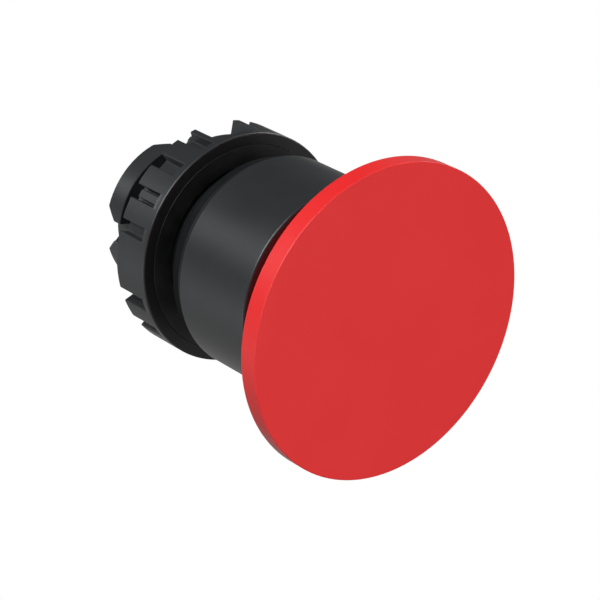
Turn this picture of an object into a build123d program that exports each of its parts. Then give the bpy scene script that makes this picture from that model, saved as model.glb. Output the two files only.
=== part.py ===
from build123d import *
import os
from math import cos, radians, sin, sqrt

# Emergency stop button of the 22 mm panel size: a red mushroom head on a black collar, with a
# threaded barrel that goes through the panel, a castellated lock nut behind it, and a push-pull
# latch inside. Millimetres. The axis is Y: the head faces -Y, the panel's front face is y = 0, and
# +Z is up. Places along the axis are called _Y; radii are from the axis.

# Driving dimensions: head
HEAD_RADIUS = 20.0
HEAD_FACE_Y = -26.2
RIM_THICKNESS = 2.6
RIM_ROUND = 0.4
NECK_RADIUS = 12.6
NECK_WALL = 1.2
NECK_REAR_Y = -10.9
NECK_FILLET = 0.8
FACE_THICKNESS = 3.0
BOSS_RADIUS = 5.0
PRESS_TRAVEL = 6.0

# Driving dimensions: collar, barrel and panel seat
COLLAR_RADIUS = 13.95
COLLAR_BORE_RADIUS = 12.9
COLLAR_FRONT_Y = -16.0
COLLAR_REAR_Y = -2.8
COLLAR_FRONT_ROUND = 0.5
SHOULDER_RADIUS = 13.2
GASKET_THICKNESS = 1.5
GASKET_RADIUS = 13.0
THREAD_RADIUS = 11.0
THREAD_PITCH = 1.0
THREAD_DEPTH = 0.54
BARREL_BORE_RADIUS = 9.1
BARREL_REAR_Y = 12.5
NOSE_FRONT_Y = -13.5
NOSE_RADIUS = 10.6
FLANGE_RADIUS = 12.85
FLANGE_FRONT_Y = -4.6
FLANGE_BORE_RADIUS = 6.3
WEB_FRONT_Y = -5.0
SPRING_FRONT_Y = -22.4
SPRING_REAR_Y = -5.8
KEY_WIDTH = 3.0
KEY_RADIUS = 12.0
KEYWAY_FLOOR = 10.25

# Driving dimensions: lock nut and its washer, as set for a 3 mm panel
PANEL_THICKNESS = 3.0
WASHER_THICKNESS = 0.6
WASHER_RADIUS = 13.6
NUT_RADIUS = 15.15
NUT_FRONT_Y = 3.05
NUT_FLANGE_REAR_Y = 4.2
NUT_REAR_Y = 9.0
NUT_ROOT_RADIUS = 13.8
NUT_RIB_RADIUS = 14.1
NUT_NOTCH_RADIUS = 13.3
NUT_TURN = 0.6

# Driving dimensions: stem, latch and rear coupling
STUD_RADIUS = 2.5
STUD_REAR_Y = -14.9
STEM_RADIUS = 4.5
CARRIER_RADIUS = 6.0
CARRIER_FRONT_Y = -2.6
CARRIER_REAR_Y = 4.6
BOLT_Y = 1.0
BOLT_RADIUS = 1.5
BOLT_TIP_RADIUS = 6.85
BOLT_TRAVEL = 1.2
TRACK_GAP = 0.15
SLEEVE_RADIUS = 9.0
COUPLING_BORE_RADIUS = 7.6
COUPLING_REAR_Y = 18.6
SNAP_INNER_RADIUS = 8.55
SNAP_OUTER_RADIUS = 9.45
SNAP_FRONT_Y = 10.9
SNAP_REAR_Y = 11.6
LUG_RADIUS = 10.3
LUG_FRONT_Y = 15.6
PUSHER_RADIUS = 7.2
PUSHER_SEAT_Y = 12.0
TAIL_RADIUS = 2.4
CLIP_GROOVE_Y = 16.0

# Play between pieces
SLIDE_GAP = 0.3
RUNNING_GAP = 0.06
SEAT_GAP = 0.05

os.makedirs("parts", exist_ok=True)


def save(solid, node):
    """Writes one node, and prints its volume, so that an empty cut shows at once."""
    export_step(solid, f"parts/{node}.step")
    print(node, round(solid.volume, 1))


def turned(*outline):
    """A closed outline of (radius, y) points, turned about the button's axis."""
    return revolve(make_face(Polyline(*outline, close=True)), Axis.Y)


def ring(inner, outer, front, rear):
    """A plain ring about the axis, or a disc when inner is 0."""
    return turned((inner, front), (outer, front), (outer, rear), (inner, rear))


def sector(inner, outer, front, rear, start, end):
    """A slice of a ring, from angle start to end in degrees, where 0 is +X and 90 is +Z."""
    outline = make_face(
        Polyline((inner, front), (outer, front), (outer, rear), (inner, rear), close=True)
    )
    return Rot(0, -end, 0) * revolve(outline, Axis.Y, end - start)


def bar(width, front, rear, low, high):
    """A bar across X, between two heights in Z."""
    block = Box(width, rear - front, abs(high - low))
    return Pos(0, (front + rear) / 2, (low + high) / 2) * block


def round_circles(solid, amount, radius, place):
    """Rounds the circular edge of the given radius that lies at y = place."""
    edges = [
        edge
        for edge in solid.edges().filter_by(GeomType.CIRCLE)
        if abs(edge.radius - radius) < 0.01 and abs(edge.center().Y - place) < 0.01
    ]
    return fillet(edges, amount)


def coil(mean_radius, wire_radius, start, length, turns):
    """A helical spring about +Z, its wire's centre line going from z = start up by length."""
    path = Pos(0, 0, start) * Helix(pitch=length / turns, height=length, radius=mean_radius)
    section = Plane(origin=path @ 0, z_dir=path % 0) * Circle(wire_radius)
    return sweep(section, path=path, is_frenet=True)


# Red head: a flat disc with a cylindrical rim, a hollow neck that slides in the collar, and a
# central boss for the threaded insert
def mushroom_head():
    rim_rear = HEAD_FACE_Y + RIM_THICKNESS
    inside = HEAD_FACE_Y + FACE_THICKNESS
    underside = rim_rear + 0.6
    boss_rear = -15.5
    insert_hole_radius = 3.42
    insert_hole_end = -22.3
    body = turned(
        (0, HEAD_FACE_Y),
        (HEAD_RADIUS, HEAD_FACE_Y),
        (HEAD_RADIUS, rim_rear),
        (NECK_RADIUS, underside),
        (NECK_RADIUS, NECK_REAR_Y),
        (NECK_RADIUS - NECK_WALL, NECK_REAR_Y),
        (NECK_RADIUS - NECK_WALL, inside),
        (BOSS_RADIUS, inside),
        (BOSS_RADIUS, boss_rear),
        (insert_hole_radius, boss_rear),
        (insert_hole_radius, insert_hole_end),
        (0, insert_hole_end),
    )
    body = round_circles(body, RIM_ROUND, HEAD_RADIUS, HEAD_FACE_Y)
    body = round_circles(body, 0.2, HEAD_RADIUS, rim_rear)
    body = round_circles(body, NECK_FILLET, NECK_RADIUS, underside)
    return round_circles(body, 0.3, NECK_RADIUS, NECK_REAR_Y)


# Brass insert moulded into the head's boss, with two grooves that the plastic grips
def head_insert():
    body = ring(STUD_RADIUS + 0.02, 3.4, -22.2, -15.6)
    groove_width = 0.8
    for groove_y in (-20.4, -18.0):
        body -= ring(3.1, 3.6, groove_y, groove_y + groove_width)
    return body


# Split spring washer that stops the stem from unscrewing out of the head
def stem_lock_washer():
    front = -15.5
    split = sector(2, 5, front - 1, STUD_REAR_Y + 1, -6, 6)
    return ring(STUD_RADIUS + 0.2, 4.4, front, STUD_REAR_Y) - split


# Stepped washer under the head that centres the main spring
def spring_cup():
    front = HEAD_FACE_Y + FACE_THICKNESS
    inner, lip, outer = 5.3, 8.6, 9.0
    return turned(
        (inner, front),
        (outer, front),
        (outer, front + 1.4),
        (lip, front + 1.4),
        (lip, SPRING_FRONT_Y),
        (inner, SPRING_FRONT_Y),
    )


# Stem: threaded stud, shaft, bolt carrier with two guide ribs, and a tail for the pusher plate
def plunger_stem():
    shaft_radius = 3.2
    groove_radius = 2.0
    tail_end = 17.4
    body = turned(
        (0, -21.9),
        (STUD_RADIUS - 0.2, -21.9),
        (STUD_RADIUS, -21.7),
        (STUD_RADIUS, STUD_REAR_Y),
        (STEM_RADIUS, STUD_REAR_Y),
        (STEM_RADIUS, CARRIER_FRONT_Y),
        (CARRIER_RADIUS, CARRIER_FRONT_Y),
        (CARRIER_RADIUS, CARRIER_REAR_Y),
        (shaft_radius, CARRIER_REAR_Y),
        (shaft_radius, PUSHER_SEAT_Y),
        (TAIL_RADIUS, PUSHER_SEAT_Y),
        (TAIL_RADIUS, CLIP_GROOVE_Y),
        (groove_radius, CLIP_GROOVE_Y),
        (groove_radius, CLIP_GROOVE_Y + 0.7),
        (TAIL_RADIUS, CLIP_GROOVE_Y + 0.7),
        (TAIL_RADIUS, tail_end - 0.2),
        (TAIL_RADIUS - 0.2, tail_end),
        (0, tail_end),
    )
    for side in (-1, 1):
        body += bar(2.0, CARRIER_FRONT_Y, CARRIER_REAR_Y, 5.0 * side, 7.0 * side)
        hole = Cylinder(BOLT_RADIUS + SEAT_GAP, 8.0, rotation=(0, 90, 0))
        body -= Pos(side * (0.8 + 4.0), BOLT_Y, 0) * hole
    return body


# Latch bolt on the +X or -X side: a pin with a round nose and a pocket for its spring
def latch_bolt(side):
    back = 2.6
    shank = BOLT_TIP_RADIUS - BOLT_RADIUS - back
    body = Pos(0, 0, back + shank / 2) * Cylinder(BOLT_RADIUS, shank)
    body += Pos(0, 0, back + shank) * Sphere(BOLT_RADIUS)
    body -= Pos(0, 0, back + 0.5) * Cylinder(1.05, 1.0)
    return Pos(0, BOLT_Y, 0) * Rot(0, 90 * side, 0) * body


# Spring that pushes a latch bolt out against the cam sleeve's track
def latch_spring(side):
    body = coil(0.8, 0.14, 0.96, 2.45, 5)
    return Pos(0, BOLT_Y, 0) * Rot(0, 90 * side, 0) * body


# Main spring between the guide bush and the head, which holds the button out
def main_spring():
    wire_radius = 0.6
    body = coil(7.4, wire_radius, 0, SPRING_REAR_Y - SPRING_FRONT_Y - 2 * wire_radius, 6)
    return Pos(0, SPRING_REAR_Y - wire_radius, 0) * Rot(90, 0, 0) * body


# Actuator plate on the stem's tail, with two pads that press the contact blocks
def pusher_plate():
    body = ring(TAIL_RADIUS + SEAT_GAP, 4.2, PUSHER_SEAT_Y, CLIP_GROOVE_Y)
    body += ring(4.0, PUSHER_RADIUS, 14.4, CLIP_GROOVE_Y)
    for side in (-1, 1):
        pad = Box(2.6, 2.0, 7.0)
        pad = fillet(pad.edges().filter_by(Axis.Y), 0.6)
        body += Pos(side * 5.3, 16.6, 0) * pad
    return body & ring(0, PUSHER_RADIUS, 10, 20)


# Retaining clip in the stem's groove, open on one side
def pusher_clip():
    body = ring(2.03, 3.8, CLIP_GROOVE_Y + SEAT_GAP, CLIP_GROOVE_Y + 0.6)
    return body - sector(0.5, 5, 15, 18, 250, 290)


# Black collar: the visible sleeve in front of the panel, snapped over the barrel's flange
def front_collar():
    body = ring(COLLAR_BORE_RADIUS, COLLAR_RADIUS, COLLAR_FRONT_Y, COLLAR_REAR_Y)
    body = round_circles(body, COLLAR_FRONT_ROUND, COLLAR_RADIUS, COLLAR_FRONT_Y)
    body = round_circles(body, 0.2, COLLAR_BORE_RADIUS, COLLAR_FRONT_Y)
    body = round_circles(body, 0.2, COLLAR_RADIUS, COLLAR_REAR_Y)
    return body - ring(12.5, 13.2, -4.05, -3.35)


def thread_outline():
    """Outline points of the thread as rings, one ridge for each pitch, from the gasket back."""
    points = []
    root = THREAD_RADIUS - THREAD_DEPTH
    crest_y = -GASKET_THICKNESS + 1.0
    while crest_y < BARREL_REAR_Y - 0.6:
        points += [
            (root, crest_y - THREAD_PITCH * 0.42),
            (THREAD_RADIUS, crest_y - THREAD_PITCH * 0.1),
            (THREAD_RADIUS, crest_y + THREAD_PITCH * 0.1),
            (root, crest_y + THREAD_PITCH * 0.42),
        ]
        crest_y += THREAD_PITCH
    return points


def snap_groove(inner, outer):
    """The groove for the snap ring between the barrel and the coupling, as a ring to cut out."""
    return ring(inner, outer, SNAP_FRONT_Y - SEAT_GAP, SNAP_REAR_Y + SEAT_GAP)


# Black barrel: nose inside the head's neck, flange in the collar, shoulder over the gasket, thread
# through the panel with a keyway along its top
def threaded_barrel():
    seat = -GASKET_THICKNESS
    root = THREAD_RADIUS - THREAD_DEPTH
    body = turned(
        (BARREL_BORE_RADIUS, NOSE_FRONT_Y),
        (NOSE_RADIUS, NOSE_FRONT_Y),
        (NOSE_RADIUS, FLANGE_FRONT_Y),
        (FLANGE_RADIUS, FLANGE_FRONT_Y),
        (FLANGE_RADIUS, -3.95),
        (FLANGE_RADIUS + 0.25, -3.75),
        (FLANGE_RADIUS + 0.25, -3.6),
        (FLANGE_RADIUS, -3.4),
        (FLANGE_RADIUS, COLLAR_REAR_Y),
        (SHOULDER_RADIUS, COLLAR_REAR_Y),
        (SHOULDER_RADIUS, seat),
        (root, seat),
        *thread_outline(),
        (root, BARREL_REAR_Y - 0.3),
        (root - 0.3, BARREL_REAR_Y),
        (BARREL_BORE_RADIUS, BARREL_REAR_Y),
        (BARREL_BORE_RADIUS, COLLAR_REAR_Y),
        (FLANGE_BORE_RADIUS, COLLAR_REAR_Y),
        (FLANGE_BORE_RADIUS, WEB_FRONT_Y),
        (BARREL_BORE_RADIUS, WEB_FRONT_Y),
    )
    body -= ring(10.0, NOSE_RADIUS + 1, -13.05, -11.75)
    body -= snap_groove(BARREL_BORE_RADIUS - 1, SNAP_OUTER_RADIUS + SEAT_GAP)
    return body - bar(KEY_WIDTH + 0.1, seat, BARREL_REAR_Y + 1, KEYWAY_FLOOR, THREAD_RADIUS + 1)


# Rubber wiper in the nose's groove, its lip on the inside of the head's neck
def wiper_seal():
    lip = NECK_RADIUS - NECK_WALL - SEAT_GAP
    seat = 10.05
    front, rear = -13.0, -11.8
    return turned(
        (seat, front),
        (NOSE_RADIUS, front),
        (lip, front + 0.4),
        (lip, rear - 0.5),
        (NOSE_RADIUS + 0.1, rear),
        (seat, rear),
    )


# Flat rubber gasket that seals against the panel, notched for the locating key
def panel_gasket():
    body = ring(THREAD_RADIUS + SEAT_GAP, GASKET_RADIUS, -GASKET_THICKNESS, 0)
    return body - bar(KEY_WIDTH + 0.4, -GASKET_THICKNESS - 1, 1, 10, KEY_RADIUS + 0.2)


# Key that fits the notch in the panel's hole, so that the button can't turn
def locating_key():
    return bar(KEY_WIDTH, -GASKET_THICKNESS, 0.9, KEYWAY_FLOOR + 0.02, KEY_RADIUS)


# Acetal bush that guides the stem; its flange is the main spring's seat
def guide_bush():
    bore = STEM_RADIUS + RUNNING_GAP
    outside = FLANGE_BORE_RADIUS - SEAT_GAP
    flange = 8.3
    return turned(
        (bore, SPRING_REAR_Y),
        (flange, SPRING_REAR_Y),
        (flange, WEB_FRONT_Y),
        (outside, WEB_FRONT_Y),
        (outside, COLLAR_REAR_Y),
        (bore, COLLAR_REAR_Y),
    )


# Cam sleeve: the bolts' track widens towards the rear and ends in a locking groove
def cam_sleeve():
    slope = BOLT_TRAVEL / PRESS_TRAVEL
    throat = CARRIER_RADIUS + 0.35
    track_at_rest = BOLT_TIP_RADIUS + TRACK_GAP
    throat_y = BOLT_Y + (throat - track_at_rest) / slope
    groove_y = BOLT_Y + PRESS_TRAVEL - 1.25
    groove_radius = 8.35
    front, rear = -2.7, 9.4
    body = turned(
        (throat, front),
        (SLEEVE_RADIUS, front),
        (SLEEVE_RADIUS, rear),
        (COUPLING_BORE_RADIUS, rear),
        (COUPLING_BORE_RADIUS, groove_y + 3.0),
        (groove_radius, groove_y + 2.95),
        (groove_radius, groove_y),
        (track_at_rest + slope * (groove_y - BOLT_Y), groove_y),
        (throat, throat_y),
    )
    for side in (-1, 1):
        body -= bar(2.0 + 2 * SLIDE_GAP, -3, rear + 1, 5.5 * side, (7.0 + SLIDE_GAP) * side)
    return body


# Rear coupling: a ring with four chamfered lugs that the contact block's base turns behind
def coupling_ring():
    core_radius = 8.5
    front = 9.6
    body = turned(
        (COUPLING_BORE_RADIUS, front),
        (SLEEVE_RADIUS, front),
        (SLEEVE_RADIUS, BARREL_REAR_Y),
        (LUG_RADIUS, BARREL_REAR_Y),
        (LUG_RADIUS, BARREL_REAR_Y + 0.8),
        (core_radius, BARREL_REAR_Y + 0.8),
        (core_radius, COUPLING_REAR_Y),
        (COUPLING_BORE_RADIUS, COUPLING_REAR_Y),
    )
    body -= snap_groove(SNAP_INNER_RADIUS - SEAT_GAP, SLEEVE_RADIUS + 0.5)
    for middle in (45, 135, 225, 315):
        body += lug(middle)
    return body


def lug(middle):
    """One lug, 75 degrees wide, with its two rear corners cut off at 45 degrees."""
    half = 37.5
    chamfer = 1.65
    body = sector(8.4, LUG_RADIUS, LUG_FRONT_Y, COUPLING_REAR_Y, middle - half, middle + half)
    for side in (-1, 1):
        corner = Box(chamfer * sqrt(2), chamfer * sqrt(2), 6.0, rotation=(0, 0, 45))
        corner = Pos(0, COUPLING_REAR_Y, LUG_RADIUS) * corner
        body -= Rot(0, 90 - middle - side * half, 0) * corner
    return body


# Snap ring that holds the coupling ring in the barrel
def coupling_snap_ring():
    body = ring(SNAP_INNER_RADIUS, SNAP_OUTER_RADIUS, SNAP_FRONT_Y, SNAP_REAR_Y)
    return body - sector(8, 10, SNAP_FRONT_Y - 1, SNAP_REAR_Y + 1, 260, 280)


# Thrust washer: its tab runs in the barrel's keyway, so it slides but doesn't turn
def thrust_washer():
    rear = PANEL_THICKNESS + WASHER_THICKNESS
    body = ring(THREAD_RADIUS + 0.1, WASHER_RADIUS, PANEL_THICKNESS, rear)
    tab_root, tab_tip = THREAD_RADIUS + 0.6, KEYWAY_FLOOR + SLIDE_GAP
    return body + bar(KEY_WIDTH - 0.5, PANEL_THICKNESS, rear, tab_tip, tab_root)


def at_angle(radius, angle):
    """A point at the given radius and angle in degrees, where 0 is +X and 90 is +Z, at y = 0."""
    return Vector(radius * cos(radians(angle)), 0, radius * sin(radians(angle)))


def stepped_disc(steps, front, rear):
    """A disc whose edge is an arc for each (start, end, radius), with radial walls between."""
    edges = []
    last_radius = steps[-1][2]
    for start, end, radius in steps:
        if radius != last_radius:
            edges.append(Line(at_angle(last_radius, start), at_angle(radius, start)))
        middle = at_angle(radius, (start + end) / 2)
        edges.append(ThreePointArc(at_angle(radius, start), middle, at_angle(radius, end)))
        last_radius = radius
    disc = extrude(make_face(Wire(edges)), rear - front, dir=(0, 1, 0))
    return Pos(0, front, 0) * disc


# Lock nut: a smooth flange in front and blocks around it, four groups a quarter turn apart, for a
# spanner; each group has a block, a rib and two spring fingers with a low rib between them
def lock_nut():
    bore = THREAD_RADIUS + 0.08
    steps = []
    for quarter in range(4):
        group = [
            (14.7, 22.2, NUT_ROOT_RADIUS),
            (22.2, 32.9, NUT_RADIUS),
            (32.9, 40.15, NUT_ROOT_RADIUS),
            (40.15, 51.0, NUT_RADIUS),
            (51.0, 52.15, NUT_NOTCH_RADIUS),
            (52.15, 56.9, NUT_RIB_RADIUS),
            (56.9, 58.15, NUT_NOTCH_RADIUS),
            (58.15, 68.9, NUT_RADIUS),
            (68.9, 75.3, NUT_ROOT_RADIUS),
        ]
        if quarter % 2:
            block = [
                (-14.7, -10.6, NUT_RADIUS),
                (-10.6, 11.5, NUT_NOTCH_RADIUS),
                (11.5, 14.7, NUT_RADIUS),
            ]
        else:
            block = [(-14.7, 14.7, NUT_RADIUS)]
        turn = NUT_TURN + 90 * quarter
        steps += [(turn + start, turn + end, radius) for start, end, radius in block + group]
    flange = ring(0, NUT_RADIUS, NUT_FRONT_Y, NUT_FLANGE_REAR_Y)
    flange = round_circles(flange, 0.35, NUT_RADIUS, NUT_FRONT_Y)
    body = flange + stepped_disc(steps, NUT_FLANGE_REAR_Y, NUT_REAR_Y)
    body -= ring(0, bore, NUT_FRONT_Y - 1, NUT_REAR_Y + 1)
    recess_end = PANEL_THICKNESS + WASHER_THICKNESS + SEAT_GAP
    return body - ring(0, WASHER_RADIUS + SLIDE_GAP, NUT_FRONT_Y - 1, recess_end)


save(mushroom_head(), "mushroom_head")
save(head_insert(), "head_insert")
save(stem_lock_washer(), "stem_lock_washer")
save(spring_cup(), "spring_cup")
save(plunger_stem(), "plunger_stem")
save(latch_bolt(1), "latch_bolt_right")
save(latch_bolt(-1), "latch_bolt_left")
save(latch_spring(1), "latch_spring_right")
save(latch_spring(-1), "latch_spring_left")
save(main_spring(), "main_spring")
save(pusher_plate(), "pusher_plate")
save(pusher_clip(), "pusher_clip")
save(front_collar(), "front_collar")
save(threaded_barrel(), "threaded_barrel")
save(wiper_seal(), "wiper_seal")
save(panel_gasket(), "panel_gasket")
save(locating_key(), "locating_key")
save(guide_bush(), "guide_bush")
save(cam_sleeve(), "cam_sleeve")
save(coupling_ring(), "coupling_ring")
save(coupling_snap_ring(), "coupling_snap_ring")
save(thrust_washer(), "thrust_washer")
save(lock_nut(), "lock_nut")
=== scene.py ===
import math
import bmesh
import bpy
import numpy as np
from mathutils import Matrix, Vector


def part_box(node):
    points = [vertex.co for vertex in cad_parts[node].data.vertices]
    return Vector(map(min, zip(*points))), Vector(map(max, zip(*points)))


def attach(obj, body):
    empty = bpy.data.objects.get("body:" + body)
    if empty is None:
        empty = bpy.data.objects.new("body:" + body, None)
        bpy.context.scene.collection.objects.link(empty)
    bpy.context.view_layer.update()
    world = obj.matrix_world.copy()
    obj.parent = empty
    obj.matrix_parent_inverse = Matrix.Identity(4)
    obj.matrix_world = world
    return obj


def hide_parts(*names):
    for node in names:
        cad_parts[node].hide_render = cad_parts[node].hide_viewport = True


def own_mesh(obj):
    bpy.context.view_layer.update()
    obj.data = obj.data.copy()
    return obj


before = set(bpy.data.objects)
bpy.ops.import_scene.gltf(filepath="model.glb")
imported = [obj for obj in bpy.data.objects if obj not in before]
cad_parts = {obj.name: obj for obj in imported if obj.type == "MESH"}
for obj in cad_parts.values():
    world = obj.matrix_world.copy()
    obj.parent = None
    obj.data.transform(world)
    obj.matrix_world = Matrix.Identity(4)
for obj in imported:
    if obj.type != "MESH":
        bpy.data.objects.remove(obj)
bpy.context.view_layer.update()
MM = 0.001

# ---------------------------------------------------------------------------------------------
# Camera. It looks down on the button from the front left, so that the face, the side of the
# collar and the lock nut all show. The lens is long, and the camera is rolled slightly.
# ---------------------------------------------------------------------------------------------
camera_data = bpy.data.cameras.new("camera")
camera_data.sensor_width = 36.0
camera_data.lens = 153.9
camera_data.clip_start = 0.01
camera_data.clip_end = 20.0
camera = bpy.data.objects.new("camera", camera_data)
bpy.context.scene.collection.objects.link(camera)
bpy.context.scene.camera = camera
camera_aim = Vector((0.0, -0.0112, 0.0))
camera_azimuth = math.radians(-38.38)
camera_elevation = math.radians(22.92)
camera_roll = math.radians(1.54)
camera_offset = Vector((-0.00139, -0.00203, 0.3150))


def direction(azimuth, elevation):
    """Unit vector out to a place: azimuth from the front (-Y) towards +X, elevation towards +Z."""
    flat = math.cos(elevation)
    return Vector((math.sin(azimuth) * flat, -math.cos(azimuth) * flat, math.sin(elevation)))


camera_turn = (-direction(camera_azimuth, camera_elevation)).to_track_quat("-Z", "Y").to_matrix()
camera_turn = camera_turn @ Matrix.Rotation(camera_roll, 3, "Z")
camera_place = camera_aim + camera_turn @ camera_offset
camera.matrix_world = Matrix.Translation(camera_place) @ camera_turn.to_4x4()

# ---------------------------------------------------------------------------------------------
# Studio. A plain pale floor well below the button, a white surround, and round soft boxes. The
# floor glows, dimmer in reflections than it looks, and throws no soft light back: the boxes do that.
# ---------------------------------------------------------------------------------------------
bpy.context.scene.view_settings.view_transform = "Standard"
world = bpy.data.worlds.new("studio")
bpy.context.scene.world = world
world.use_nodes = True
studio = world.node_tree
studio.nodes.clear()
room_strength = 0.02
seen_white = studio.nodes.new("ShaderNodeBackground")
seen_white.inputs["Strength"].default_value = 1.0
seen_white.inputs["Color"].default_value = (1.0, 1.0, 1.0, 1.0)
room_light = studio.nodes.new("ShaderNodeBackground")
room_light.inputs["Color"].default_value = (1.0, 1.0, 1.0, 1.0)
room_light.inputs["Strength"].default_value = room_strength
ray_kind = studio.nodes.new("ShaderNodeLightPath")
either = studio.nodes.new("ShaderNodeMixShader")
studio_out = studio.nodes.new("ShaderNodeOutputWorld")
studio.links.new(ray_kind.outputs["Is Camera Ray"], either.inputs[0])
studio.links.new(room_light.outputs[0], either.inputs[1])
studio.links.new(seen_white.outputs[0], either.inputs[2])
studio.links.new(either.outputs[0], studio_out.inputs[0])

floor_half = 8.0
floor_level = -0.45
reflected_glow = 0.38
seen_glow = 1.0
floor_corners = [(-1, -1), (1, -1), (1, 1), (-1, 1)]
floor_mesh = bpy.data.meshes.new("floor")
floor_mesh.from_pydata(
    [(x * floor_half, y * floor_half, floor_level) for x, y in floor_corners], [], [(0, 1, 2, 3)])
floor = bpy.data.objects.new("floor", floor_mesh)
bpy.context.scene.collection.objects.link(floor)
floor_paint = bpy.data.materials.new("pale_floor")
floor_paint.use_nodes = True
floor_tree = floor_paint.node_tree
floor_shader = floor_tree.nodes["Principled BSDF"]
floor_shader.inputs["Base Color"].default_value = (0.0, 0.0, 0.0, 1.0)
floor_shader.inputs["Specular IOR Level"].default_value = 0.0
floor_shader.inputs["Emission Color"].default_value = (1.0, 1.0, 1.0, 1.0)
seen_floor = floor_tree.nodes.new("ShaderNodeLightPath")
floor_glow = floor_tree.nodes.new("ShaderNodeMapRange")
floor_glow.inputs["To Min"].default_value = reflected_glow
floor_glow.inputs["To Max"].default_value = seen_glow
floor_tree.links.new(seen_floor.outputs["Is Camera Ray"], floor_glow.inputs["Value"])
floor_tree.links.new(floor_glow.outputs["Result"], floor_shader.inputs["Emission Strength"])
floor_mesh.materials.append(floor_paint)
floor.visible_diffuse = False
floor.visible_shadow = False

# name, azimuth and elevation in degrees, power in watts, diameter in metres, colour; 1 m away
soft_boxes = [
    ("key_left", -98, 40, 6.0, 0.35, (0.86, 0.94, 1.0)),
    ("key_above", -76, 58, 3.5, 0.35, (0.90, 0.96, 1.0)),
    ("key_front", -76, 40, 3.2, 0.35, (0.90, 0.96, 1.0)),
    ("front", 0, 0, 6.4, 0.35, (1.0, 1.0, 1.0)),
    ("front_above", 0, 20, 0.8, 0.35, (1.0, 1.0, 1.0)),
    ("right", 90, 30, 4.1, 0.35, (1.0, 1.0, 1.0)),
    ("right_behind", 120, 30, 0.9, 0.35, (1.0, 1.0, 1.0)),
    ("right_above", 120, 60, 0.7, 0.35, (1.0, 1.0, 1.0)),
    ("right_level", 90, 0, 0.6, 0.35, (1.0, 1.0, 1.0)),
    ("rear_left", -168, 8, 0.8, 0.35, (1.0, 1.0, 1.0)),
    ("rear_left_above", -142, 24, 0.4, 0.35, (1.0, 1.0, 1.0)),
    ("left_low", -120, -22, 0.9, 0.35, (1.0, 1.0, 1.0)),
    ("front_right", 30, 0, 0.3, 0.35, (1.0, 1.0, 1.0)),
    ("behind", 150, -30, 1.5, 0.50, (1.0, 1.0, 1.0)),
]
for name, azimuth, elevation, power, diameter, tint in soft_boxes:
    lamp = bpy.data.lights.new(name, "AREA")
    lamp.shape = "DISK"
    lamp.size = diameter
    lamp.energy = power
    lamp.color = tint
    box = bpy.data.objects.new(name, lamp)
    bpy.context.scene.collection.objects.link(box)
    outward = direction(math.radians(azimuth), math.radians(elevation))
    inward_turn = (-outward).to_track_quat("-Z", "Y").to_matrix().to_4x4()
    box.matrix_world = Matrix.Translation(outward) @ inward_turn

# ---------------------------------------------------------------------------------------------
# Mushroom head: one red moulding, a flat disc with a plain cylindrical rim, a hollow neck that
# slides in the collar, and a boss inside for the threaded insert. Satin, with a faint mould grain.
# ---------------------------------------------------------------------------------------------


def rounded(corners, steps=6, support=0.05):
    """Outline points (radius, y, edge) from corners (radius, y, rounding), all in millimetres.
    A corner is cut back by rounding / tan(half its angle) on both sides and joined by an arc
    tangent to them. edge is 1 on the arc and 0 at a support point just outside it."""
    points = np.array([corner[:2] for corner in corners], float)
    rows = []
    for i, (radius, y, rounding) in enumerate(corners):
        if rounding <= 0 or i in (0, len(corners) - 1):
            rows.append([[radius, y, 0.0]])
            continue
        here = points[i]
        back, ahead = points[i - 1] - here, points[i + 1] - here
        back_length, ahead_length = np.linalg.norm(back), np.linalg.norm(ahead)
        back, ahead = back / back_length, ahead / ahead_length
        half = 0.5 * math.acos(float(np.clip(back @ ahead, -1, 1)))
        cut = rounding / math.tan(half)
        middle = (back + ahead) / np.linalg.norm(back + ahead)
        centre = here + middle * rounding / math.sin(half)
        first, last = here + back * cut - centre, here + ahead * cut - centre
        sweep = math.pi - 2 * half
        t = np.linspace(0, 1, steps + 1)[:, None]
        arc = centre + (np.sin((1 - t) * sweep) * first + np.sin(t * sweep) * last) / math.sin(sweep)
        before = here + back * min(cut + support, 0.5 * (cut + back_length))
        after = here + ahead * min(cut + support, 0.5 * (cut + ahead_length))
        rows.append([[*before, 0.0]] + [[*point, 1.0] for point in arc] + [[*after, 0.0]])
    return np.array([row for group in rows for row in group])


def surface(name, grid, edge, sharp=40.0):
    """A mesh from points grid[row, column] in millimetres: quads join neighbours, and the last
    column joins the first. Doubled points are merged, faces are turned outwards, and edge becomes
    the attribute edge_wear. Edges that turn by more than sharp degrees are not smoothed."""
    rows, columns = grid.shape[:2]
    index = np.arange(rows * columns).reshape(rows, columns)
    here, ahead = index[:-1], index[1:]
    quads = np.stack([here, ahead, np.roll(ahead, -1, axis=1), np.roll(here, -1, axis=1)], axis=-1)
    mesh = bpy.data.meshes.new(name)
    mesh.from_pydata((grid.reshape(-1, 3) * MM).tolist(), [], quads.reshape(-1, 4).tolist())
    values = np.broadcast_to(edge, (rows, columns)).astype(np.float32).ravel()
    mesh.attributes.new("edge_wear", "FLOAT", "POINT").data.foreach_set("value", values)
    work = bmesh.new()
    work.from_mesh(mesh)
    bmesh.ops.remove_doubles(work, verts=work.verts, dist=2e-7)
    bmesh.ops.dissolve_degenerate(work, edges=work.edges, dist=1e-7)
    bmesh.ops.recalc_face_normals(work, faces=work.faces)
    work.to_mesh(mesh)
    work.free()
    mesh.shade_smooth()
    mesh.set_sharp_from_angle(angle=math.radians(sharp))
    return mesh


def lathe(name, outline, columns=256):
    """The outline's rows (radius, y, edge) turned about the Y axis: x = radius cos a and
    z = radius sin a, for a from 0 to a full turn."""
    a = np.linspace(0, 2 * np.pi, columns, endpoint=False)
    radius, y, edge = outline[:, 0, None], outline[:, 1, None], outline[:, 2, None]
    grid = np.stack([radius * np.cos(a), y + 0 * a, radius * np.sin(a)], axis=-1)
    return surface(name, grid, edge)


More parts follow.
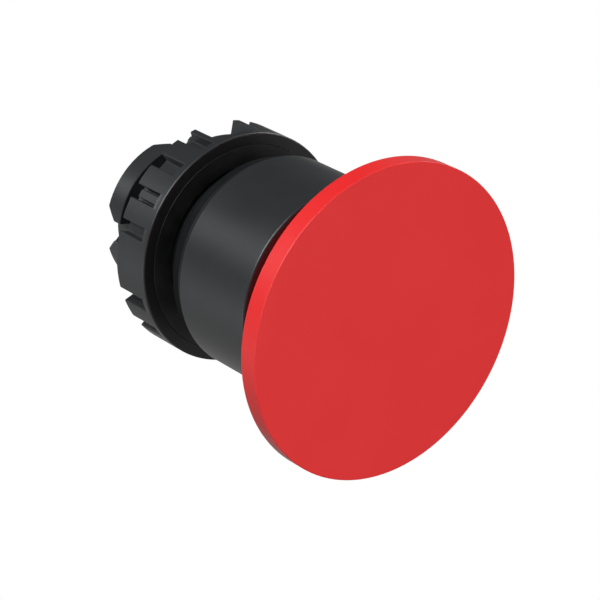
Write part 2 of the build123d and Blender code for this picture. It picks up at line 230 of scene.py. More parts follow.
def place_piece(mesh, material, body, slot, *replaced):
    """The mesh as a piece that rides on a body and stands for CAD nodes, with its material."""
    piece = bpy.data.objects.new(mesh.name, mesh)
    bpy.context.scene.collection.objects.link(piece)
    mesh.materials.append(material)
    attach(piece, body)
    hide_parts(*replaced)
    return piece


def extent(node):
    """A node's front and rear y and its outer radius, in millimetres."""
    low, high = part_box(node)
    return low[1] / MM, high[1] / MM, max(-low[0], high[0]) / MM


def add(tree, kind, operation=None, values=(), links=()):
    """A node, with values for some of its inputs and links from sockets to others."""
    node = tree.nodes.new(kind)
    if operation:
        node.operation = operation
    for key, value in values:
        node.inputs[key].default_value = value
    for key, source in links:
        tree.links.new(source, node.inputs[key])
    return node


def new_group(name, inputs, outputs):
    """An empty shader node group with named inputs and outputs: the group and its two ends."""
    group = bpy.data.node_groups.new(name, "ShaderNodeTree")
    for label, kind, value in inputs:
        socket = group.interface.new_socket(name=label, in_out="INPUT", socket_type=kind)
        if value is not None:
            socket.default_value = value
    for label, kind in outputs:
        group.interface.new_socket(name=label, in_out="OUTPUT", socket_type=kind)
    return group, group.nodes.new("NodeGroupInput").outputs, group.nodes.new("NodeGroupOutput").inputs


def noise(tree, vector, detail, roughness, scale):
    """Fractal noise from 0 to 1. The scale is in 1/metres, and may be a number or a socket."""
    node = add(tree, "ShaderNodeTexNoise", values=[("Detail", detail), ("Roughness", roughness)])
    tree.links.new(vector, node.inputs["Vector"])
    if isinstance(scale, (int, float)):
        node.inputs["Scale"].default_value = scale
    else:
        tree.links.new(scale, node.inputs["Scale"])
    return node.outputs["Fac"]


def blend(tree, factor, first, second):
    """The colour between first and second by factor; each is a colour or a socket."""
    node = tree.nodes.new("ShaderNodeMix")
    node.data_type = "RGBA"
    tree.links.new(factor, node.inputs["Factor"])
    for key, value in (("A", first), ("B", second)):
        socket = next(s for s in node.inputs if s.name == key and s.type == "RGBA")
        if isinstance(value, tuple):
            socket.default_value = (*value, 1.0)
        else:
            tree.links.new(value, socket)
    return next(s for s in node.outputs if s.type == "RGBA")


def make_moulded_grain():
    """Spark-eroded mould grain. Height is fine noise plus a third of a noise three times coarser.
    Cloud is broad noise, for slight drifts of shade and gloss over a moulding."""
    group, given, result = new_group(
        "moulded_grain",
        [("Vector", "NodeSocketVector", None), ("Grain", "NodeSocketFloat", 4500.0)],
        [("Height", "NodeSocketFloat"), ("Cloud", "NodeSocketFloat")],
    )
    fine = noise(group, given["Vector"], 2.0, 0.6, given["Grain"])
    third = add(group, "ShaderNodeMath", "MULTIPLY", [(1, 0.33)], [(0, given["Grain"])])
    coarse = noise(group, given["Vector"], 1.0, 0.5, third.outputs[0])
    height = add(group, "ShaderNodeMath", "MULTIPLY_ADD", [(1, 0.33)], [(0, coarse), (2, fine)])
    group.links.new(height.outputs[0], result["Height"])
    group.links.new(noise(group, given["Vector"], 4.0, 0.55, 110.0), result["Cloud"])
    return group


def make_edge_polish():
    """Edges rubbed smooth by handling: the edge value times patchy noise times Amount, from 0 to 1."""
    group, given, result = new_group(
        "edge_polish",
        [
            ("Vector", "NodeSocketVector", None),
            ("Edge", "NodeSocketFloat", 0.0),
            ("Amount", "NodeSocketFloat", 0.6),
        ],
        [("Mask", "NodeSocketFloat")],
    )
    patchy = noise(group, given["Vector"], 3.0, 0.6, 420.0)
    spread = add(group, "ShaderNodeMapRange", links=[("Value", patchy)], values=[
        ("From Min", 0.25), ("From Max", 0.7)])
    rubbed = add(group, "ShaderNodeMath", "MULTIPLY", links=[(0, given["Edge"]), (1, spread.outputs[0])])
    scaled = add(group, "ShaderNodeMath", "MULTIPLY", links=[(0, rubbed.outputs[0]), (1, given["Amount"])])
    scaled.use_clamp = True
    group.links.new(scaled.outputs[0], result["Mask"])
    return group


moulded_grain = make_moulded_grain()
edge_polish = make_edge_polish()


def place_group(tree, group, values=(), links=()):
    """The node group as a node of a material."""
    node = tree.nodes.new("ShaderNodeGroup")
    node.node_tree = group
    for key, value in values:
        node.inputs[key].default_value = value
    for key, source in links:
        tree.links.new(source, node.inputs[key])
    return node.outputs


def moulded_plastic(name, dark, light, polished, dullness, grain, depth, wear, specular=0.5):
    """Moulded plastic. The shade drifts between dark and light, edges are polished to a lighter
    shade and a lower roughness, dullness is the middle of the roughness, grain is in 1/metres and
    depth, the height of the grain, in metres. specular is the strength of its highlights."""
    material = bpy.data.materials.new(name)
    material.use_nodes = True
    tree = material.node_tree
    shader = tree.nodes["Principled BSDF"]
    spot = tree.nodes.new("ShaderNodeTexCoord").outputs["Object"]
    grained = place_group(tree, moulded_grain, [("Grain", grain)], [("Vector", spot)])
    edge = tree.nodes.new("ShaderNodeAttribute")
    edge.attribute_name = "edge_wear"
    polish = place_group(
        tree, edge_polish, [("Amount", wear)], [("Vector", spot), ("Edge", edge.outputs["Fac"])])
    shade = blend(tree, grained["Cloud"], dark, light)
    tree.links.new(blend(tree, polish["Mask"], shade, polished), shader.inputs["Base Color"])
    matt = add(tree, "ShaderNodeMapRange", links=[("Value", grained["Cloud"])], values=[
        ("From Min", 0.3), ("From Max", 0.7), ("To Min", dullness - 0.03), ("To Max", dullness + 0.03)])
    rubbed = add(tree, "ShaderNodeMath", "MULTIPLY_ADD", [(1, -0.15)], [
        (0, polish["Mask"]), (2, matt.outputs[0])])
    tree.links.new(rubbed.outputs[0], shader.inputs["Roughness"])
    bump = add(tree, "ShaderNodeBump", values=[("Strength", 1.0), ("Distance", depth)],
               links=[("Height", grained["Height"])])
    tree.links.new(bump.outputs["Normal"], shader.inputs["Normal"])
    shader.inputs["Specular IOR Level"].default_value = specular
    return material


red_plastic = moulded_plastic(
    "red_plastic",
    dark=(0.71, 0.017, 0.017),
    light=(0.75, 0.020, 0.020),
    polished=(0.76, 0.024, 0.024),
    dullness=0.42,
    grain=5200.0,
    depth=0.000003,
    wear=0.1,
    specular=0.42,
)
head_front, neck_end, head_radius = extent("mushroom_head")
rim_rear = head_front + 2.6
neck_radius = 12.6
neck_bore = 11.4
inside_floor = head_front + 3.0
boss_radius = 5.0
boss_end = -15.5
insert_hole = 3.42
insert_floor = -22.3
head_outline = rounded([
    (0.0, head_front, 0.0),
    (head_radius, head_front, 0.08),
    (head_radius, rim_rear, 0.2),
    (neck_radius, rim_rear + 0.6, 0.8),
    (neck_radius, neck_end, 0.3),
    (neck_bore, neck_end, 0.1),
    (neck_bore, inside_floor, 0.5),
    (boss_radius, inside_floor, 0.5),
    (boss_radius, boss_end, 0.15),
    (insert_hole, boss_end, 0.0),
    (insert_hole, insert_floor, 0.0),
    (0.0, insert_floor, 0.0),
], steps=8)
place_piece(lathe("red_head", head_outline, 320), red_plastic, "head", "red_plastic", "mushroom_head")

# ---------------------------------------------------------------------------------------------
# Front collar: the black sleeve in front of the panel. Injection moulded in a fine-grained mould
# and snapped over the barrel's flange; its mouth is rounded, and the head's neck slides in it.
# ---------------------------------------------------------------------------------------------
black_plastic = moulded_plastic(
    "black_plastic",
    dark=(0.018, 0.0185, 0.019),
    light=(0.024, 0.0245, 0.025),
    polished=(0.036, 0.037, 0.038),
    dullness=0.36,
    grain=4200.0,
    depth=0.000009,
    wear=0.1,
)
collar_front, collar_rear, collar_radius = extent("front_collar")
collar_bore = 12.9
catch_groove = 13.2
catch_front = -4.05
catch_middle = -3.7
catch_rear = -3.35
collar_outline = rounded([
    (catch_groove, catch_middle, 0.0),
    (catch_groove, catch_front, 0.0),
    (collar_bore, catch_front, 0.08),
    (collar_bore, collar_front, 0.25),
    (collar_radius, collar_front, 0.3),
    (collar_radius, collar_rear, 0.22),
    (collar_bore, collar_rear, 0.08),
    (collar_bore, catch_rear, 0.08),
    (catch_groove, catch_rear, 0.0),
    (catch_groove, catch_middle, 0.0),
])
place_piece(lathe("collar", collar_outline), black_plastic, "housing", "black_plastic", "front_collar")

# ---------------------------------------------------------------------------------------------
# Threaded barrel: the black body of the button. A nose in front carries the wiper, a flange holds
# the collar, a shoulder covers the gasket, and the thread behind goes through the panel. A keyway
# runs along its top, and the web inside holds the guide bush.
# ---------------------------------------------------------------------------------------------
barrel_front, barrel_rear, shoulder_radius = extent("threaded_barrel")
gasket_front = extent("panel_gasket")[0]
thread_crest = 11.0
thread_root = 10.46
thread_pitch = 1.0
barrel_bore = 9.1
flange_radius = 12.85
flange_front = -4.6
nose_radius = 10.6
wiper_groove = 10.0
wiper_front = -13.05
wiper_rear = -11.75
catch_ridge = 13.1
web_bore = 6.3
web_front = -5.0
bore_start = -9.0
snap_groove = 9.5
snap_front = 10.85
snap_rear = 11.65
key_half_width = 1.55
keyway_floor = 10.25


def thread_rise(y, turn):
    """Height of the thread from its root, from 0 to 1, at y and at the angle turn. Across one
    pitch it is a crest an eighth wide, a root a quarter wide, and two straight flanks."""
    across = np.abs((y / thread_pitch - turn / (2 * np.pi)) % 1.0 - 0.5)
    return np.clip((0.375 - across) / 0.3125, 0.0, 1.0)


def keyed_grid(rows, columns, half_width, level, limit=np.minimum):
    """Points of a body of revolution about Y that is cut flat at +Z. rows are (radius, y, keyed);
    radius and y may differ by column. Outside the cut a column keeps its share of the angle that
    the cut leaves. Inside it x runs across, and z is the limit, lower or higher, of level and the
    surface. Where keyed is 0, z follows the surface."""
    share = np.linspace(0, 1, columns)
    across = np.linspace(-1, 1, 9)
    points = []
    for radius, y, keyed in rows:
        radius = np.broadcast_to(np.asarray(radius, float), (columns,))
        y = np.broadcast_to(np.asarray(y, float), (columns,))
        wall = np.arcsin(half_width / radius[[0, -1]])
        turn = wall[0] + share * (2 * np.pi - wall[0] - wall[-1])
        outer = np.stack([radius * np.sin(turn), y, radius * np.cos(turn)], axis=-1)
        x = half_width * across
        top = np.sqrt(np.interp(across, [-1, 1], radius[[-1, 0]]) ** 2 - x**2)
        z = limit(level, top) if keyed else top
        inner = np.stack([x, np.interp(across, [-1, 1], y[[-1, 0]]), z], axis=-1)
        points.append(np.concatenate([outer, inner]))
    return np.array(points)


barrel_columns = 240
keyway_turn = math.asin(key_half_width / thread_crest)
barrel_turn = np.linspace(keyway_turn, 2 * np.pi - keyway_turn, barrel_columns)
thread_start = gasket_front + 0.1
thread_end = barrel_rear - 0.45
run_out = 1.3 * thread_pitch
root_corner = 0.375
crest_corner = 0.0625
corner_rows = np.arange(-1, 13)[:, None] + np.array([
    -root_corner, -crest_corner, crest_corner, root_corner])
full_thread = (corner_rows > thread_start + run_out) & (corner_rows < thread_end - run_out)
corner_rows = corner_rows[full_thread]
run_out_rows = 22
levels = np.concatenate([
    np.linspace(thread_start, thread_start + run_out, run_out_rows),
    corner_rows * thread_pitch,
    np.linspace(thread_end - run_out, thread_end, run_out_rows),
])
fade_length = 0.5
thread_rows = []
for level in levels:
    # Rows climb with the helix, so that they lie along its corners, and level out at both ends
    climb = np.clip(min(level - thread_start, thread_end - level) / run_out, 0, 1)
    climb = climb * climb * (3 - 2 * climb)
    y = level + climb * thread_pitch * (barrel_turn / (2 * np.pi) - 0.5)
    fade = np.clip((y - thread_start) / fade_length, 0, 1)
    fade = fade * np.clip((thread_end - y) / fade_length, 0, 1)
    rise = thread_rise(y, barrel_turn) * fade
    thread_rows.append((thread_root + (thread_crest - thread_root) * rise, y, 1))
front_part = rounded([
    (barrel_bore, bore_start, 0.0),
    (barrel_bore, barrel_front, 0.15),
    (nose_radius, barrel_front, 0.15),
    (nose_radius, wiper_front, 0.0),
    (wiper_groove, wiper_front, 0.0),
    (wiper_groove, wiper_rear, 0.0),
    (nose_radius, wiper_rear, 0.08),
    (nose_radius, flange_front, 0.2),
    (flange_radius, flange_front, 0.12),
    (flange_radius, -3.95, 0.0),
    (catch_ridge, -3.75, 0.0),
    (catch_ridge, -3.6, 0.0),
    (flange_radius, -3.4, 0.0),
    (flange_radius, collar_rear, 0.0),
    (shoulder_radius, collar_rear, 0.15),
    (shoulder_radius, gasket_front, 0.1),
    (thread_root, gasket_front, 0.0),
], steps=4)
rear_part = rounded([
    (thread_root, barrel_rear - 0.3, 0.0),
    (thread_root - 0.3, barrel_rear, 0.05),
    (barrel_bore, barrel_rear, 0.1),
    (barrel_bore, snap_rear, 0.0),
    (snap_groove, snap_rear, 0.0),
    (snap_groove, snap_front, 0.0),
    (barrel_bore, snap_front, 0.0),
    (barrel_bore, collar_rear, 0.15),
    (web_bore, collar_rear, 0.1),
    (web_bore, web_front, 0.1),
    (barrel_bore, web_front, 0.15),
    (barrel_bore, bore_start, 0.0),
], steps=4)
barrel_rows = [(radius, y, 0) for radius, y, _ in front_part]
barrel_rows += [(thread_root, gasket_front, 1)] + thread_rows
barrel_rows += [(radius, y, 1) for radius, y, _ in rear_part]
barrel_edge = np.concatenate([front_part[:, 2], np.zeros(1 + len(thread_rows)), rear_part[:, 2]])
barrel_grid = keyed_grid(barrel_rows, barrel_columns, key_half_width, keyway_floor)
barrel_mesh = surface("barrel", barrel_grid, barrel_edge[:, None])
# Painted shade: the barrel's black is painted darker than the collar's, to stand in for the shade on the
# shoulder behind the collar and on the thread behind the nut
barrel_plastic_painted_shade = moulded_plastic(
    "barrel_plastic_painted_shade",
    dark=(0.007, 0.0072, 0.0075),
    light=(0.011, 0.0112, 0.0115),
    polished=(0.02, 0.0204, 0.021),
    dullness=0.5,
    grain=4200.0,
    depth=0.000009,
    wear=0.3,
    specular=0.25,
)
place_piece(barrel_mesh, barrel_plastic_painted_shade, "housing", "black_plastic", "threaded_barrel")

# ---------------------------------------------------------------------------------------------
# Panel gasket and wiper: soft black rubber. The gasket is a flat ring, its outer edge rounded by
# the mould and notched for the locating key; the wiper sits in the nose's groove.
# ---------------------------------------------------------------------------------------------


def rubber(name, dark, dusty, roughness):
    """Moulded rubber: a dull black that fine dust greys in patches, with a slight orange-peel."""
    material = bpy.data.materials.new(name)
    material.use_nodes = True
    tree = material.node_tree
    shader = tree.nodes["Principled BSDF"]
    spot = tree.nodes.new("ShaderNodeTexCoord").outputs["Object"]
    grained = place_group(tree, moulded_grain, [("Grain", 2600.0)], [("Vector", spot)])
    dust = add(tree, "ShaderNodeMapRange", links=[("Value", grained["Cloud"])], values=[
        ("From Min", 0.45), ("From Max", 0.75)])
    tree.links.new(blend(tree, dust.outputs[0], dark, dusty), shader.inputs["Base Color"])
    dull = add(tree, "ShaderNodeMapRange", links=[("Value", grained["Cloud"])], values=[
        ("To Min", roughness - 0.06), ("To Max", roughness + 0.06)])
    tree.links.new(dull.outputs[0], shader.inputs["Roughness"])
    bump = add(tree, "ShaderNodeBump", values=[("Strength", 1.0), ("Distance", 0.000012)],
               links=[("Height", grained["Height"])])
    tree.links.new(bump.outputs["Normal"], shader.inputs["Normal"])
    shader.inputs["Specular IOR Level"].default_value = 0.12
    return material


def finish(node, material):
    """The CAD node keeps its shape and gets the material."""
    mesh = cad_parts[node].data
    mesh.materials.clear()
    mesh.materials.append(material)


seal_rubber = rubber(
    "seal_rubber", dark=(0.004, 0.004, 0.0042), dusty=(0.009, 0.009, 0.0094), roughness=0.72)
gasket_bore = 11.05
gasket_rear, gasket_radius = extent("panel_gasket")[1:]
notch_half_width = 1.7
notch_top = 12.2
notch_end = math.hypot(notch_top, notch_half_width)
gasket_edge = rounded([
    (notch_end, gasket_front, 0.0),
    (gasket_radius, gasket_front, 0.3),
    (gasket_radius, gasket_rear, 0.3),
    (notch_end, gasket_rear, 0.0),
], steps=5)
gasket_rows = [(radius, y, 0) for radius, y, _ in gasket_edge]
gasket_rows += [(notch_end, gasket_rear, 1), (gasket_bore, gasket_rear, 1)]
gasket_rows += [(gasket_bore, gasket_front, 1), (notch_end, gasket_front, 1)]
gasket_rows += [(notch_end, gasket_front, 0)]
gasket_grid = keyed_grid(gasket_rows, 200, notch_half_width, notch_top, np.maximum)
place_piece(surface("gasket", gasket_grid, 0.0), seal_rubber, "housing", "seal_rubber", "panel_gasket")
finish("wiper_seal", seal_rubber)
finish("locating_key", black_plastic)

# ---------------------------------------------------------------------------------------------
# Thrust washer: blanked from blackened spring steel. Its tab runs in the barrel's keyway, so it
# slides along the thread without turning and keeps the nut from dragging on the panel.
# ---------------------------------------------------------------------------------------------


def make_turning_marks():
    """Fine rings about the button's axis, as a lathe or a die leaves them: noise of the distance
    from the Y axis and of y, so that it is the same all the way round. Stain is broad noise."""
    group, given, result = new_group(
        "turning_marks",
        [("Vector", "NodeSocketVector", None), ("Marks", "NodeSocketFloat", 6000.0)],
        [("Height", "NodeSocketFloat"), ("Stain", "NodeSocketFloat")],
    )
    parts = add(group, "ShaderNodeSeparateXYZ", links=[("Vector", given["Vector"])])
    across = add(group, "ShaderNodeMath", "POWER", [(1, 2.0)], [(0, parts.outputs["X"])])
    upward = add(group, "ShaderNodeMath", "POWER", [(1, 2.0)], [(0, parts.outputs["Z"])])
    both = add(group, "ShaderNodeMath", "ADD", links=[(0, across.outputs[0]), (1, upward.outputs[0])])
    radius = add(group, "ShaderNodeMath", "SQRT", links=[(0, both.outputs[0])])
    rings = add(group, "ShaderNodeCombineXYZ", links=[("X", radius.outputs[0]), ("Y", parts.outputs["Y"])])
    group.links.new(noise(group, rings.outputs[0], 3.0, 0.65, given["Marks"]), result["Height"])
    group.links.new(noise(group, given["Vector"], 5.0, 0.6, 260.0), result["Stain"])
    return group


turning_marks = make_turning_marks()


def metal(name, clean, stained, shine, marks, depth):
    """Bare or plated metal: stains drift between two shades, shine is the lowest roughness, and
    turning marks of the given depth in metres catch the light."""
    material = bpy.data.materials.new(name)
    material.use_nodes = True
    tree = material.node_tree
    shader = tree.nodes["Principled BSDF"]
    spot = tree.nodes.new("ShaderNodeTexCoord").outputs["Object"]
    marked = place_group(tree, turning_marks, [("Marks", marks)], [("Vector", spot)])
    stain = add(tree, "ShaderNodeMapRange", links=[("Value", marked["Stain"])], values=[
        ("From Min", 0.4), ("From Max", 0.7)])
    tree.links.new(blend(tree, stain.outputs[0], clean, stained), shader.inputs["Base Color"])
    dull = add(tree, "ShaderNodeMapRange", links=[("Value", marked["Stain"])], values=[
        ("From Min", 0.3), ("From Max", 0.7), ("To Min", shine), ("To Max", shine + 0.15)])
    tree.links.new(dull.outputs[0], shader.inputs["Roughness"])
    bump = add(tree, "ShaderNodeBump", values=[("Strength", 1.0), ("Distance", depth)],
               links=[("Height", marked["Height"])])
    tree.links.new(bump.outputs["Normal"], shader.inputs["Normal"])
    shader.inputs["Metallic"].default_value = 1.0
    return material


black_steel = metal(
    "black_steel",
    clean=(0.070, 0.070, 0.072),
    stained=(0.095, 0.092, 0.090),
    shine=0.5,
    marks=2600.0,
    depth=0.000003,
)
washer_front, washer_rear, washer_radius = extent("thrust_washer")
washer_bore = 11.1
tab_half_width = 1.25
tab_end = keyway_floor + 0.3
washer_edge = rounded([
    (washer_bore + 0.8, washer_front, 0.0),
    (washer_radius, washer_front, 0.03),
    (washer_radius, washer_rear, 0.08),
    (washer_bore + 0.8, washer_rear, 0.0),
], steps=4)
washer_rows = [(washer_bore, washer_front, 0)] + [(radius, y, 0) for radius, y, _ in washer_edge]
washer_rows += [(washer_bore, washer_rear, 0), (washer_bore, washer_rear, 1)]
washer_rows += [(washer_bore, washer_front, 1), (washer_bore, washer_front, 0)]
washer_grid = keyed_grid(washer_rows, 200, tab_half_width, tab_end)
place_piece(surface("washer", washer_grid, 0.0), black_steel, "washer", "black_steel", "thrust_washer")

# ---------------------------------------------------------------------------------------------
# Lock nut: glass-filled nylon, moulded. A smooth flange bears on the washer, and the blocks around
# it, four groups a quarter turn apart, take a ring spanner; in each group two spring fingers stand
# beside a low rib. Every edge of the castellation is slightly rounded by the mould.
# ---------------------------------------------------------------------------------------------
nut_plastic = moulded_plastic(
    "nut_plastic",
    dark=(0.018, 0.018, 0.0185),
    light=(0.025, 0.025, 0.0255),
    polished=(0.038, 0.038, 0.039),
    dullness=0.40,
    grain=3600.0,
    depth=0.000012,
    wear=0.1,
)
nut_front, nut_rear, nut_radius = extent("lock_nut")
nut_root = 13.8
nut_low_rib = 14.1
nut_slot = 13.3
nut_bore = 11.08
recess_radius = 13.64
recess_depth = 0.6
flange_rear = 4.2
bore_middle = 7.0
bore_chamfer = 0.35
rear_round = 0.1
nut_turn = 0.6
# Ends of the steps in degrees, in one quarter of the nut, and the radius up to each
rib_and_fingers = [
    (22.2, nut_root), (32.9, nut_radius), (40.15, nut_root), (51.0, nut_radius), (52.15, nut_slot),
    (56.9, nut_low_rib), (58.15, nut_slot), (68.9, nut_radius), (75.3, nut_root),
]
plain_block = [(14.7, nut_radius)]
split_block = [(-10.6, nut_radius), (11.5, nut_slot), (14.7, nut_radius)]


def stepped_outline(steps, rounding, spacing=1.5, unrolled=14.5):
    """A closed outline (radius, angle, edge) from steps (end angle, radius), in degrees. The steps
    are laid out flat at the radius unrolled, every corner gets the rounding, the result is wrapped
    back, and long arcs are divided so that no part spans more than spacing degrees."""
    scale = math.radians(1) * unrolled
    corners = []
    start = steps[-1][0] - 360
    for i, (end, radius) in enumerate(steps):
        if radius != steps[i - 1][1]:
            corners.append((steps[i - 1][1], start * scale, rounding))
            corners.append((radius, start * scale, rounding))
        start = end
    first, last = corners[:2], corners[-2:]
    turn = 360 * scale
    padded = [(r, t - turn, d) for r, t, d in last] + corners + [(r, t + turn, d) for r, t, d in first]
    flat = rounded(padded, steps=3, support=0.04)
    low = 0.5 * (padded[1][1] + padded[2][1])
    flat = flat[(flat[:, 1] >= low) & (flat[:, 1] < low + turn)]
    radius, angle, edge = flat[:, 0], flat[:, 1] / scale, flat[:, 2]
    gaps = np.diff(np.append(angle, angle[0] + 360))
    parts = np.maximum(1, np.ceil(gaps / spacing).astype(int))
    which = np.repeat(np.arange(len(angle)), parts)
    within = np.concatenate([np.arange(n) / n for n in parts])
    ahead = (which + 1) % len(angle)
    radius = radius[which] + within * (radius[ahead] - radius[which])
    edge = np.where(within == 0, edge[which], np.minimum(edge[which], edge[ahead]))
    return radius, angle[which] + within * gaps[which], edge


def inset(radius, angle, amount):
    """The outline moved inwards by amount, square to itself, as (radius, angle) again."""
    x, z = radius * np.cos(np.radians(angle)), radius * np.sin(np.radians(angle))
    along_x, along_z = np.roll(x, -1) - np.roll(x, 1), np.roll(z, -1) - np.roll(z, 1)
    length = np.hypot(along_x, along_z)
    x, z = x - amount * along_z / length, z + amount * along_x / length
    return np.hypot(x, z), np.degrees(np.unwrap(np.arctan2(z, x)))


def polar_grid(rows):
    """Points from rows (radius, angle in degrees, y), each the same or not along the row."""
    points = []
    for radius, angle, y in rows:
        a = np.radians(angle)
        points.append(np.stack([radius * np.cos(a), y + 0 * angle, radius * np.sin(a)], axis=-1))
    return np.array(points)


steps = []
for quarter in range(4):
    for end, radius in (split_block if quarter % 2 else plain_block) + rib_and_fingers:
        steps.append((nut_turn + 90 * quarter + end, radius))
nut_outline, nut_angle, nut_corner = stepped_outline(steps, 0.11)
level_rows = rounded([
    (nut_bore + 0.9, nut_front + recess_depth, 0.0),
    (recess_radius, nut_front + recess_depth, 0.02),
    (recess_radius, nut_front, 0.02),
    (nut_radius, nut_front, 0.2),
    (nut_radius, flange_rear, 0.0),
], steps=5)
nut_rows = [(nut_bore, nut_angle, bore_middle)]
nut_rows += [(nut_bore, nut_angle, nut_front + recess_depth + 0.3)]
nut_rows += [(nut_bore + 0.3, nut_angle, nut_front + recess_depth)]
nut_rows += [(radius, nut_angle, y) for radius, y, _ in level_rows[:-1]]
rim_edge = np.where(level_rows[:-1, 0] > recess_radius + 0.5, level_rows[:-1, 2], 0.0)
nut_edge = [0 * nut_angle] * 3 + [edge + 0 * nut_angle for edge in rim_edge]
# The flange's rear edge, rounded between the blocks
for drop, back in ((0.0, 0.12), (0.03, 0.04), (0.12, 0.0)):
    nut_rows.append((np.maximum(nut_outline, nut_radius - drop), nut_angle, flange_rear - back))
    nut_edge.append(np.where(nut_outline > nut_radius - 0.2, 0.0, 0.8))
nut_rows.append((nut_outline, nut_angle, flange_rear))
nut_edge.append(0 * nut_angle)
nut_rows.append((nut_outline, nut_angle, flange_rear + 0.1))
nut_edge.append(nut_corner * 0.6)
nut_rows.append((nut_outline, nut_angle, nut_rear - 0.16))
nut_edge.append(nut_corner)
for turn in np.radians([0, 30, 60, 90]):
    amount = rear_round * (1 - math.cos(turn))
    y = nut_rear - rear_round * (1 - math.sin(turn))
    nut_rows.append((*inset(nut_outline, nut_angle, amount), y))
    nut_edge.append(0 * nut_angle + 1.0)
nut_rows.append((*inset(nut_outline, nut_angle, 0.16), nut_rear))
nut_rows.append((nut_bore + bore_chamfer, nut_angle, nut_rear))
nut_rows.append((nut_bore, nut_angle, nut_rear - bore_chamfer))
nut_rows.append((nut_bore, nut_angle, bore_middle))
nut_edge += [0 * nut_angle] * 4
nut_mesh = surface("castellated_nut", polar_grid(nut_rows), np.array(nut_edge))
place_piece(nut_mesh, nut_plastic, "nut", "nut_plastic", "lock_nut")

# ---------------------------------------------------------------------------------------------
# Coupling ring: black nylon, held in the barrel by a snap ring. A contact block's base turns
# behind its four lugs, whose rear corners are cut off to lead it in.
# ---------------------------------------------------------------------------------------------
coupling_front, coupling_rear, lug_radius = extent("coupling_ring")
coupling_bore = 7.6
coupling_core = 8.5
spigot_radius = 9.0
lug_front = 15.6
lug_half = 37.5
lug_chamfer = 1.65
lug_rear_round = 0.1
ring_flange_rear = barrel_rear + 0.8
coupling_middle = 14.0
lug_steps = []
for quarter in range(4):
    lug_start = 45 - lug_half + 90 * quarter
    lug_steps += [(lug_start, coupling_core), (lug_start + 2 * lug_half, lug_radius)]
ring_outline, ring_angle, ring_corner = stepped_outline(lug_steps, 0.11, unrolled=lug_radius)
lug_middle = 45 + 90 * np.floor(ring_angle / 90)


def lug_rows(y, amount=0.0):
    """One row around the lugs at y. Past the chamfer's start, angles draw in to the middle of
    their lug by the distance past it over the lug's radius; the outline is inset by amount."""
    past = max(0.0, y - (coupling_rear - lug_chamfer))
    narrowed = 1 - math.degrees(past / lug_radius) / lug_half
    off = ring_angle - lug_middle
    gap_half = 45 - lug_half
    inside = off * narrowed
    outside = np.sign(off) * (45 - (45 - np.abs(off)) * (45 - lug_half * narrowed) / gap_half)
    angle = lug_middle + np.where(np.abs(off) <= lug_half, inside, outside)
    return (*inset(ring_outline, angle, amount), y) if amount else (ring_outline, angle, y)


core_rows = rounded([
    (coupling_bore, coupling_middle, 0.0),
    (coupling_bore, coupling_front, 0.12),
    (spigot_radius, coupling_front, 0.25),
    (spigot_radius, snap_front, 0.0),
    (coupling_core, snap_front, 0.0),
    (coupling_core, snap_rear, 0.0),
    (spigot_radius, snap_rear, 0.0),
    (spigot_radius, barrel_rear, 0.0),
    (lug_radius, barrel_rear, 0.1),
    (lug_radius, ring_flange_rear, 0.1),
    (coupling_core, ring_flange_rear, 0.0),
    (coupling_core, lug_front, 0.0),
], steps=4)
coupling_rows = [(radius, ring_angle, y) for radius, y, _ in core_rows]
coupling_edge = [edge + 0 * ring_angle for edge in core_rows[:, 2]]
coupling_rows.append((*inset(ring_outline, ring_angle, 0.08), lug_front))
coupling_rows.append((ring_outline, ring_angle, lug_front + 0.08))
coupling_edge += [ring_corner, ring_corner]
for y in np.linspace(coupling_rear - lug_chamfer, coupling_rear - 0.14, 5):
    coupling_rows.append(lug_rows(y))
    coupling_edge.append(ring_corner)
for turn in np.radians([0, 30, 60, 90]):
    amount = lug_rear_round * (1 - math.cos(turn)) + 1e-4
    coupling_rows.append(lug_rows(coupling_rear - lug_rear_round * (1 - math.sin(turn)), amount))
    coupling_edge.append(0 * ring_angle + 1.0)
coupling_rows += [(coupling_bore + 0.2, ring_angle, coupling_rear)]
coupling_rows += [(coupling_bore, ring_angle, coupling_rear - 0.2)]
coupling_rows += [(coupling_bore, ring_angle, coupling_middle)]
coupling_edge += [0 * ring_angle] * 3
coupling_mesh = surface("coupling", polar_grid(coupling_rows), np.array(coupling_edge))
coupling_plastic = moulded_plastic(
    "coupling_plastic",
    dark=(0.022, 0.0225, 0.023),
    light=(0.029, 0.0295, 0.030),
    polished=(0.038, 0.039, 0.040),
    dullness=0.30,
    grain=4200.0,
    depth=0.000009,
    wear=0.1,
)
place_piece(coupling_mesh, coupling_plastic, "housing", "black_plastic", "coupling_ring")

# ---------------------------------------------------------------------------------------------
# Main spring: music wire wound cold, its end turns closed up and ground flat. It sits on the guide
# bush's flange and pushes the head out.
# ---------------------------------------------------------------------------------------------
spring_steel = metal(
    "spring_steel",
    clean=(0.42, 0.42, 0.43),
    stained=(0.30, 0.28, 0.26),
    shine=0.26,
    marks=5000.0,
    depth=0.000002,
)
wire_radius = 0.6
coil_radius = 7.4
coil_front = -22.4
coil_rear = -5.8
coil_turns = 6.5
turn_steps = 56


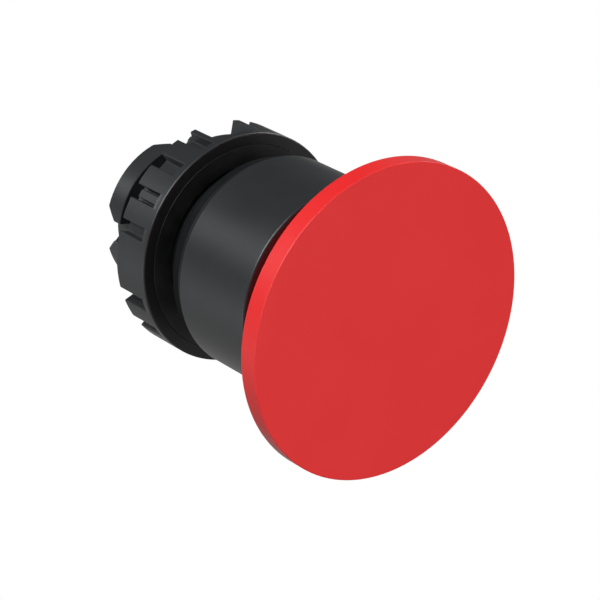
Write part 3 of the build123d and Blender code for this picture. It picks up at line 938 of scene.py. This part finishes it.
def wound_wire(name):
    """A tube along a helix about Y. Over the first and last turn the pitch grows from nothing, by a
    smooth step, so that the end turns lie flat, and they are ground off level with the seats."""
    t = np.linspace(0, 1, int(coil_turns * turn_steps) + 1)
    turns = t * coil_turns
    pitch = np.clip(turns, 0, 1) * np.clip(coil_turns - turns, 0, 1)
    pitch = 0.06 + pitch * pitch * (3 - 2 * pitch)
    travelled = np.concatenate([[0], np.cumsum(0.5 * (pitch[1:] + pitch[:-1]))])
    seat = 0.45 * wire_radius
    y = coil_front + seat + travelled / travelled[-1] * (coil_rear - coil_front - 2 * seat)
    a = 2 * np.pi * turns[:, None]
    b = np.linspace(0, 2 * np.pi, 14, endpoint=False)
    radius = coil_radius + wire_radius * np.cos(b)
    height = np.clip(y[:, None] + wire_radius * np.sin(b), coil_front, coil_rear)
    grid = np.stack([radius * np.cos(a), height + 0 * a, radius * np.sin(a)], axis=-1)
    middle = np.stack([coil_radius * np.cos(a), y[:, None], coil_radius * np.sin(a)], axis=-1)
    ends = np.repeat(middle[[0, -1]], len(b), axis=1)
    return surface(name, np.concatenate([ends[:1], grid, ends[1:]]), 0.0)


spring = place_piece(wound_wire("coil_spring"), spring_steel, "housing", "spring_steel", "main_spring")
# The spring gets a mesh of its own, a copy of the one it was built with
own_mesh(spring)

# ---------------------------------------------------------------------------------------------
# Small metal parts, turned, pressed or wound: the insert, the washer and cup under the head, the
# latch bolts with their springs, and the clip and snap ring at the rear.
# ---------------------------------------------------------------------------------------------
brass = metal(
    "brass",
    clean=(0.78, 0.56, 0.25),
    stained=(0.60, 0.40, 0.17),
    shine=0.22,
    marks=5200.0,
    depth=0.000003,
)
zinc_steel = metal(
    "zinc_steel",
    clean=(0.62, 0.63, 0.65),
    stained=(0.50, 0.50, 0.50),
    shine=0.30,
    marks=3400.0,
    depth=0.000003,
)
hardened_steel = metal(
    "hardened_steel",
    clean=(0.52, 0.52, 0.53),
    stained=(0.40, 0.38, 0.37),
    shine=0.18,
    marks=7000.0,
    depth=0.000001,
)
metal_parts = {
    "head_insert": brass,
    "stem_lock_washer": zinc_steel,
    "spring_cup": zinc_steel,
    "latch_bolt_right": hardened_steel,
    "latch_bolt_left": hardened_steel,
    "latch_spring_right": spring_steel,
    "latch_spring_left": spring_steel,
    "pusher_clip": spring_steel,
    "coupling_snap_ring": spring_steel,
}
for node, material in metal_parts.items():
    finish(node, material)

# ---------------------------------------------------------------------------------------------
# Acetal parts, slippery and slightly waxy: the grey stem and cam sleeve, and the natural white
# guide bush and pusher plate.
# ---------------------------------------------------------------------------------------------
grey_acetal = moulded_plastic(
    "grey_acetal",
    dark=(0.17, 0.175, 0.18),
    light=(0.20, 0.205, 0.21),
    polished=(0.26, 0.26, 0.27),
    dullness=0.34,
    grain=3000.0,
    depth=0.000004,
    wear=0.4,
)
white_acetal = moulded_plastic(
    "white_acetal",
    dark=(0.70, 0.69, 0.66),
    light=(0.76, 0.75, 0.72),
    polished=(0.80, 0.79, 0.77),
    dullness=0.32,
    grain=3000.0,
    depth=0.000004,
    wear=0.4,
)
finish("plunger_stem", grey_acetal)
finish("cam_sleeve", grey_acetal)
finish("guide_bush", white_acetal)
finish("pusher_plate", white_acetal)
